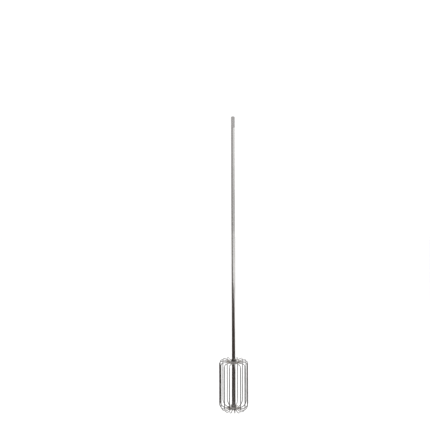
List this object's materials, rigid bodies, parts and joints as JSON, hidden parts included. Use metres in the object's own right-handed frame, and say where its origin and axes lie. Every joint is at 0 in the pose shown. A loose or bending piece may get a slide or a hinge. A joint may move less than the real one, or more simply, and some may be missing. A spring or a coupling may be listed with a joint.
{
  "type": "drill paint mixer",
  "caption": "Paint mixer for a drill: a long round shaft with a hexagonal shank above and a round cage of bent wires below, which stirs paint in its can.",
  "frame": {"origin": "centre of the shank's end face", "axes": "+Z along the shaft, up into the drill's chuck; the mixer hangs down from the origin"},
  "size_m": [0.0598, 0.0598, 0.6],
  "materials": {
    "polished_steel": "round bar, ground and polished bright",
    "bright_wire": "bright drawn stainless wire",
    "turned_steel": "turned steel with fine tool rings",
    "spring_steel": "dark oiled spring steel",
    "screw_steel": "bright zinc plate",
    "weld_metal": "rippled weld metal, lightly heat-tinted"
  },
  "bodies": {
    "root": {"mixer_shaft": "polished_steel", "upper_collar": "turned_steel", "lower_hub": "turned_steel", "upper_weld_seam": "weld_metal", "lower_weld_seam": "weld_metal", "upper_retaining_ring": "spring_steel", "hub_lock_washer": "spring_steel", "hub_end_screw": "screw_steel", "cage_wire_01": "bright_wire", "cage_wire_02": "bright_wire", "cage_wire_03": "bright_wire", "cage_wire_04": "bright_wire", "cage_wire_05": "bright_wire", "cage_wire_06": "bright_wire", "cage_wire_07": "bright_wire", "cage_wire_08": "bright_wire", "cage_wire_09": "bright_wire", "cage_wire_10": "bright_wire", "cage_wire_11": "bright_wire", "cage_wire_12": "bright_wire", "cage_wire_13": "bright_wire", "cage_wire_14": "bright_wire", "cage_wire_15": "bright_wire", "cage_wire_16": "bright_wire"}
  },
  "joints": []
}
